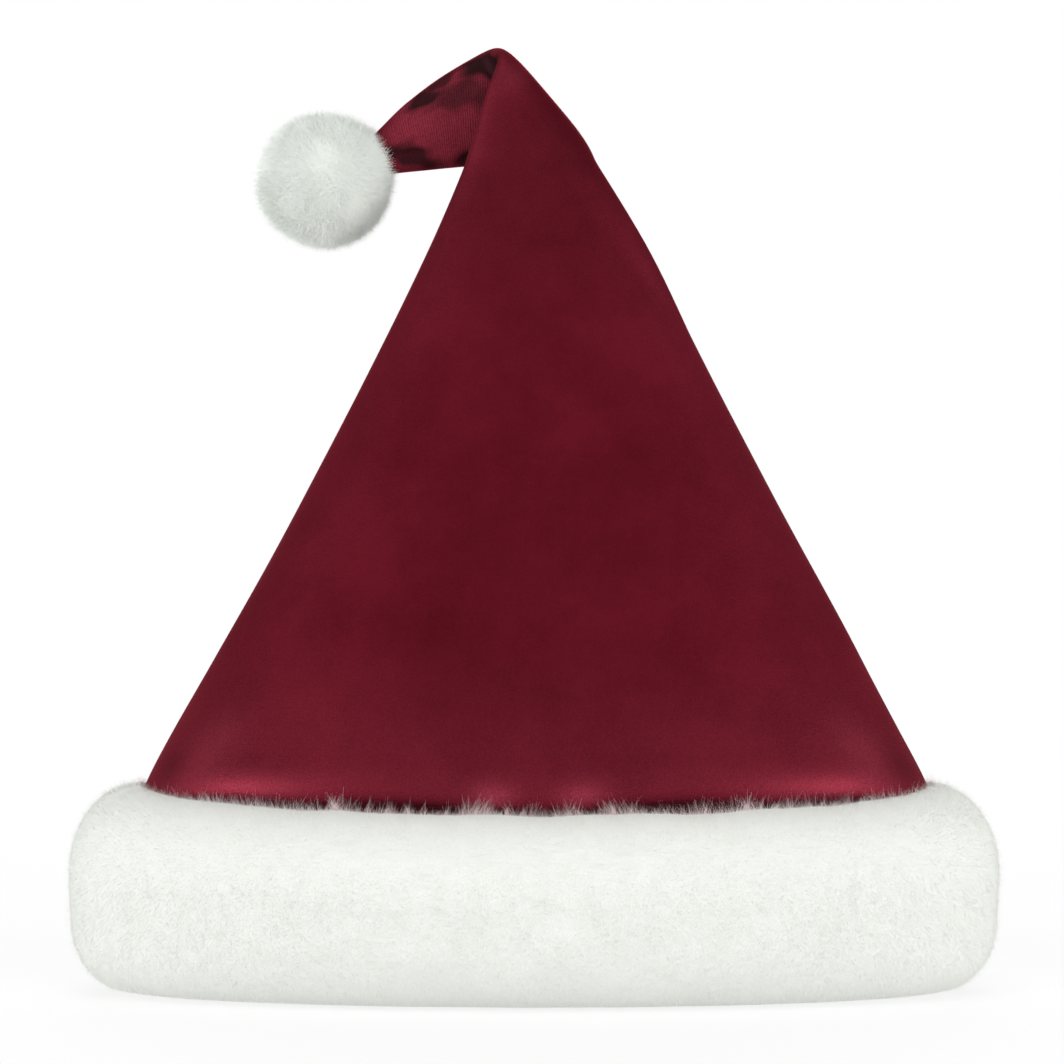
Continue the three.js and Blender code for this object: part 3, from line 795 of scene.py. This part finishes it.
def pompom_core():
    """A small ball, slightly uneven: directions on a grid of two angles times a radius with slow waves."""
    t = np.linspace(0, 2 * np.pi, CORE_ROUND, endpoint=False)[None, :]
    p = np.linspace(np.pi - POLE_GAP, POLE_GAP, CORE_RINGS)[:, None]
    radius = CORE_RADIUS * (1 + CORE_WAVES * np.sin(5 * t) * np.sin(4 * p))
    grid = radius[..., None] * np.stack([np.sin(p) * np.cos(t), np.sin(p) * np.sin(t), np.cos(p) + 0 * t], -1)
    ends = np.array([[0, 0, -CORE_RADIUS], [0, 0, CORE_RADIUS]])
    points = (np.concatenate([grid.reshape(-1, 3), ends]) + POMPOM_MIDDLE) * MM
    i = np.arange(CORE_ROUND)
    j = (i + 1) % CORE_ROUND
    low, high, top = len(points) - 2 + 0 * i, len(points) - 1 + 0 * i, (CORE_RINGS - 1) * CORE_ROUND
    fans = np.concatenate([np.stack([low, j, i], 1), np.stack([high, top + i, top + j], 1)])
    return mesh_piece("pompom_core", points, [ring_faces(CORE_RINGS, CORE_ROUND), fans])


def tousle(way):
    """Random pushes along a sphere's surface, slow ones and quicker ones: a sum of sines of the place along
    random directions, each times a push of its own, less what points in or out."""
    rng = np.random.default_rng(60)
    push = np.zeros(way.shape)
    for pace, strength in 8 * ((3.0, 0.2), (8.0, 0.08)):
        along, aside = rng.normal(size=(2, 3))
        push += strength * np.sin(pace * way @ along + rng.uniform(0, 2 * np.pi))[:, None] * aside
    return push - np.sum(push * way, axis=1)[:, None] * way


def pompom_pile(name, count, seed, reach, width, stray, bent=False):
    """Hairs from the core out to the ball's form times a reach: each points away from the middle, pushed over
    with its neighbours and straying a little. None stands where the tail goes in, and those round it lie
    along it and are a little longer."""
    rng = np.random.default_rng(seed)
    way = unit(even_ways(count) + rng.normal(0, 0.02, (count, 3)))
    way = way[way @ TAIL_WAY < TAIL_BARE]
    count = len(way)
    by_tail = ramp(way @ TAIL_WAY, *TAIL_LIE)[:, None]
    aim = way + TOUSLE * tousle(way) + rng.normal(0, stray, (count, 3))
    aim += LIE_OVER * by_tail * (TAIL_WAY - way)
    root = POMPOM_MIDDLE + way * CORE_RADIUS
    length = POMPOM_RADIUS * rng.uniform(*reach, count)[:, None]
    length *= 1 + LIE_LONGER * by_tail * rng.random((count, 1))
    tip = POMPOM_MIDDLE + unit(aim) * length
    bend = way * POMPOM_BEND if bent else None
    return hairs(name, root, tip, width * rng.uniform(0.7, 1.3, count), way, rng, bend)


long_pile = white_pile("white_long_pile", (0.72, 0.75, 0.712), (0.885, 0.92, 0.88), sheen=0.4)
core = pompom_core()
core.data.materials.append(cloth_back("pompom_ground", 1400.0, (0.79, 0.81, 0.775), (0.82, 0.84, 0.805)))
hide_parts("pompom")
pompom_hairs = [
    pompom_pile("pompom_pile", 80000, seed=61, reach=(0.96, 1.01), width=0.042, stray=0.05),
    pompom_pile("pompom_fluff", 26000, seed=62, reach=(0.98, 1.09), width=0.03, stray=0.08, bent=True)]
for piece in pompom_hairs:
    piece.data.materials.append(long_pile)
for piece in (core, *pompom_hairs):
    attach(piece, "root")

# STAGE
# A plain pale floor that fades into the white surround, broad soft lights at both sides, in front, above and
# behind, and the camera in front at the height of the crown.

FLOOR_RINGS = np.array([0.001, 0.4, 1.0, 2.0, 4.0, 8.0])  # metres from the middle
FLOOR_ROUND = 64
FADE_START, FADE_END = 0.25, 1.3  # metres from the middle between which the floor turns clear
CLEAR_AT_START = 0.75  # how clear it already is up to there
GLOW_BELOW, GLOW_ABOVE = 0.86, 0.4  # how strongly the surround lights the object
GLOW_TURN = 0.15  # height on either side of level within which the one turns into the other


def floor_mesh():
    """A disc as a grid of rings: radius growing outwards, turned once round."""
    turn = np.linspace(0, 2 * np.pi, FLOOR_ROUND, endpoint=False)
    grid = FLOOR_RINGS[:, None, None] * np.stack([np.cos(turn), np.sin(turn), 0 * turn], -1)[None]
    return mesh_piece("floor", grid.reshape(-1, 3), [ring_faces(len(FLOOR_RINGS), FLOOR_ROUND)])


def floor_paint():
    """Pale matt paint that turns clear towards the rim, so that no horizon shows."""
    material, tree, shader = new_material(
        "floor_paint", Base_Color=(0.95, 0.95, 0.95), Roughness=0.9, Specular_IOR_Level=0.1)
    far = add_node(tree, "ShaderNodeVectorMath", operation="LENGTH")
    put(tree, far.inputs[0], tree.nodes.new("ShaderNodeTexCoord").outputs["Object"])
    mix, clear = tree.nodes.new("ShaderNodeMixShader"), tree.nodes.new("ShaderNodeBsdfTransparent")
    faded = spread(tree, far.outputs["Value"], FADE_START, FADE_END, CLEAR_AT_START, 1.0)
    put(tree, mix.inputs["Fac"], faded)
    put(tree, mix.inputs[1], shader.outputs[0])
    put(tree, mix.inputs[2], clear.outputs[0])
    put(tree, tree.nodes["Material Output"].inputs["Surface"], mix.outputs[0])
    return material


floor = floor_mesh()
floor.data.materials.append(floor_paint())

# The surround is white to the eye and lights the object more from below, as a white table does
world = bpy.data.worlds.new("white_surround")
bpy.context.scene.world = world
world.use_nodes = True
surround = world.node_tree
split = surround.nodes.new("ShaderNodeSeparateXYZ")
put(surround, split.inputs[0], surround.nodes.new("ShaderNodeTexCoord").outputs["Generated"])
glow = spread(surround, split.outputs["Z"], -GLOW_TURN, GLOW_TURN, GLOW_BELOW, GLOW_ABOVE)
seen = surround.nodes.new("ShaderNodeLightPath").outputs["Is Camera Ray"]
put(surround, surround.nodes["Background"].inputs["Strength"], spread(surround, seen, 0.0, 1.0, glow, 1.0))
put(surround, surround.nodes["Background"].inputs["Color"], (1, 1, 1))

# Name, place, what it points at, width and height in metres, and power in watts
SOFT_LIGHTS = (
    ("left_light", (-1.6, -0.95, 0.32), (0, 0, 0.1), 1.0, 0.55, 22.6),
    ("right_light", (1.6, -0.95, 0.32), (0, 0, 0.1), 1.0, 0.55, 22.6),
    ("top_light", (0.0, -0.7, 1.9), (0, 0, 0.12), 1.4, 1.4, 12.0),
    ("front_light", (0.0, -2.3, 0.3), (0, 0, 0.1), 1.4, 0.5, 6.0),
    ("back_light", (0.0, 2.0, 1.0), (0, 0, 0.1), 1.6, 1.0, 20.0),
)
for name, place, aim, width, height, power in SOFT_LIGHTS:
    light = bpy.data.lights.new(name, "AREA")
    light.shape, light.size, light.size_y, light.energy = "RECTANGLE", width, height, power
    lamp = bpy.data.objects.new(name, light)
    lamp.location = place
    lamp.rotation_euler = (Vector(aim) - Vector(place)).to_track_quat("-Z", "Y").to_euler()
    bpy.context.scene.collection.objects.link(lamp)

CAMERA_PLACE, CAMERA_AIM = Vector((0, -2.0, 0.177)), Vector((-0.0015, 0, 0.1548))
camera = bpy.data.objects.new("camera", bpy.data.cameras.new("camera"))
camera.data.lens, camera.data.sensor_width = 200, 36
camera.location = CAMERA_PLACE
camera.rotation_euler = (CAMERA_AIM - CAMERA_PLACE).to_track_quat("-Z", "Y").to_euler()
bpy.context.scene.collection.objects.link(camera)
bpy.context.scene.camera = camera
bpy.context.scene.view_settings.view_transform = "Standard"
